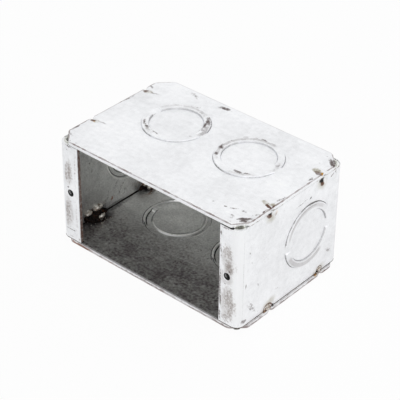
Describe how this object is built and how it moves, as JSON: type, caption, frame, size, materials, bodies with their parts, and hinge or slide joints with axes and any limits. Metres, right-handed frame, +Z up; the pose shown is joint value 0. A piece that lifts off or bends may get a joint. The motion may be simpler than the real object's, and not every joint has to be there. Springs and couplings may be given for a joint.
{
  "type": "single-gang masonry box",
  "caption": "Galvanised steel device box, open at the front, folded from sheet and tack-welded, with concentric knockouts and flanges drilled for device screws.",
  "frame": {"origin": "middle of the footprint, on the surface that the box lies on", "axes": "+X along the box's long side, to the right for someone who looks into its open front; -Y out of the open front; +Z up through the top plate"},
  "size_m": [0.0964, 0.064, 0.0507],
  "materials": {
    "galvanised_sheet": "pale matt galvanised steel, lightly scuffed, with brown stains at the welds",
    "weld_metal": "rough weld metal, burnt brown and black"
  },
  "bodies": {
    "root": {"wrap_strip": "galvanised_sheet", "top_plate": "galvanised_sheet", "bottom_plate": "galvanised_sheet", "weld_bead_bottom_left_front": "weld_metal", "weld_bead_bottom_left_back": "weld_metal", "weld_bead_bottom_right_front": "weld_metal", "weld_bead_bottom_right_back": "weld_metal", "weld_bead_top_left_front": "weld_metal", "weld_bead_top_left_back": "weld_metal", "weld_bead_top_right_front": "weld_metal", "weld_bead_top_right_back": "weld_metal"}
  },
  "joints": []
}
